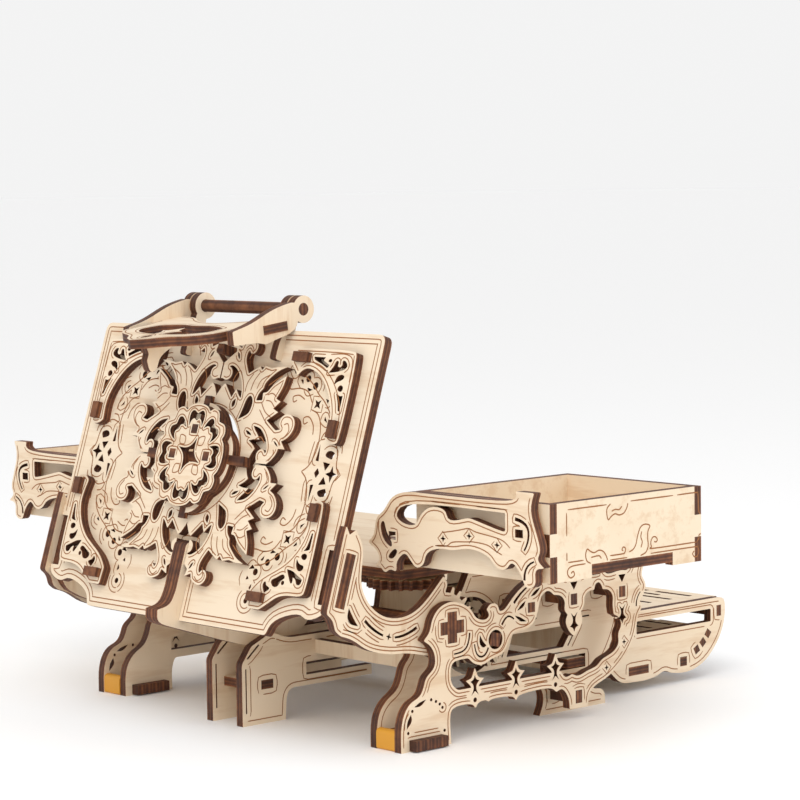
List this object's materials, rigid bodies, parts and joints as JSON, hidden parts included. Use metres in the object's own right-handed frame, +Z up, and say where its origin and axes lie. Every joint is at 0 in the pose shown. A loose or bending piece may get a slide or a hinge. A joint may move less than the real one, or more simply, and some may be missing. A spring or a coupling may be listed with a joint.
{
  "type": "puzzle box",
  "caption": "Laser-cut plywood jewellery puzzle box whose lid, swing-out trays and ring drawer open together through gears and racks",
  "frame": {"origin": "floor level, in the middle of the open box's outline, on its mid-plane", "axes": "+X from the front feet and the opened lid towards the ring drawer, +Y across the box, +Z up"},
  "size_m": [0.2125, 0.2648, 0.1373],
  "materials": {
    "birch_panels": "matte laser-cut birch plywood",
    "birch_lid": "matte laser-cut birch plywood with engraved lines",
    "birch_trays": "matte laser-cut birch plywood",
    "birch_gears": "matte plywood, waxed teeth",
    "burnt_edges": "end grain browned by the laser",
    "amber_plugs": "amber tinted filler wood"
  },
  "bodies": {
    "base": {"outer_side_near": "birch_panels", "outer_side_far": "birch_panels", "inner_side_near": "birch_panels", "inner_side_far": "birch_panels", "beam_near": "birch_panels", "beam_far": "birch_panels", "beam_spacer": "birch_panels", "beam_ties": "birch_panels", "deck": "birch_panels", "deck_posts": "burnt_edges", "panel_spacers": "burnt_edges", "rear_foot_spacers": "burnt_edges", "foot_bars": "burnt_edges", "foot_plugs": "amber_plugs", "hinge_axle": "burnt_edges"},
    "idler": {"idler_axle": "burnt_edges", "idler_pinions": "birch_gears", "idler_wheels": "birch_gears"},
    "carriage": {"carriage_fork": "birch_gears", "carriage_rails": "birch_gears"},
    "stepup": {"step_axle": "burnt_edges", "step_pinion": "birch_gears", "step_wheel": "birch_gears"},
    "drawer": {"drawer_side_near": "birch_panels", "drawer_side_far": "birch_panels", "drawer_floor": "birch_panels", "drawer_cross_bar": "birch_panels", "drawer_front": "birch_panels", "drawer_back_slats": "birch_panels", "ring_plate_upper": "birch_panels", "ring_plate_lower": "birch_panels", "drawer_rack": "birch_gears", "drawer_rack_bracket": "birch_panels"},
    "lid": {"lid_plate": "birch_lid", "lid_arm_near": "birch_lid", "lid_arm_far": "birch_lid", "lid_arm_liner_near": "birch_lid", "lid_arm_liner_far": "birch_lid", "lid_tenons": "burnt_edges", "lid_fin": "birch_lid", "lid_corners": "birch_lid", "lid_medallion": "birch_lid", "lid_collar": "birch_lid", "lid_rosette": "birch_lid", "rosette_bars": "burnt_edges", "latch_ears": "birch_lid"},
    "latch": {"latch_axle": "burnt_edges", "latch_arms": "birch_lid", "latch_panel": "birch_lid", "latch_foot": "birch_lid"},
    "near_tray": {"tray_floor_near": "birch_trays", "tray_walls_near": "birch_trays", "tray_end_near": "birch_trays", "tray_bracket_near": "birch_trays", "tray_pivot_near": "birch_gears"},
    "far_tray": {"tray_floor_far": "birch_trays", "tray_walls_far": "birch_trays", "tray_end_far": "birch_trays", "tray_bracket_far": "birch_trays", "tray_pivot_far": "birch_gears"}
  },
  "joints": [
    {"name": "lid_hinge", "type": "hinge", "parent": "base", "child": "lid", "pos_m": [-0.043, 0, 0.0359], "axis": [0, 1, 0], "range_deg": [0, 72]},
    {"name": "idler_spin", "type": "hinge", "parent": "base", "child": "idler", "pos_m": [-0.02443, 0, 0.02994], "axis": [0, -1, 0], "range_deg": [0, 104]},
    {"name": "carriage_slide", "type": "slide", "parent": "base", "child": "carriage", "axis": [-1, 0, 0], "range_m": [0, 0.0182]},
    {"name": "stepup_spin", "type": "hinge", "parent": "base", "child": "stepup", "pos_m": [0.001, 0, 0.048], "axis": [0, 0, 1], "range_deg": [0, 208]},
    {"name": "drawer_slide", "type": "slide", "parent": "base", "child": "drawer", "axis": [-1, 0, 0], "range_m": [0, 0.0597]},
    {"name": "near_tray_swing", "type": "hinge", "parent": "base", "child": "near_tray", "pos_m": [-0.039, -0.051, 0.05], "axis": [0, 0, 1], "range_deg": [0, 90.5]},
    {"name": "far_tray_swing", "type": "hinge", "parent": "base", "child": "far_tray", "pos_m": [-0.039, 0.051, 0.05], "axis": [0, 0, -1], "range_deg": [0, 90.5]},
    {"name": "latch_hinge", "type": "hinge", "parent": "lid", "child": "latch", "pos_m": [-0.0592, 0, 0.13296], "axis": [0, 1, 0], "range_deg": [0, 205]}
  ],
  "couplings": [
    {"joint": "idler_spin", "follows": "lid_hinge", "ratio": 1.4375},
    {"joint": "carriage_slide", "follows": "lid_hinge", "m_per_rad": 0.014375},
    {"joint": "stepup_spin", "follows": "lid_hinge", "ratio": 2.875},
    {"joint": "drawer_slide", "follows": "lid_hinge", "m_per_rad": 0.047438},
    {"joint": "near_tray_swing", "follows": "lid_hinge", "ratio": 1.25},
    {"joint": "far_tray_swing", "follows": "lid_hinge", "ratio": 1.25}
  ]
}
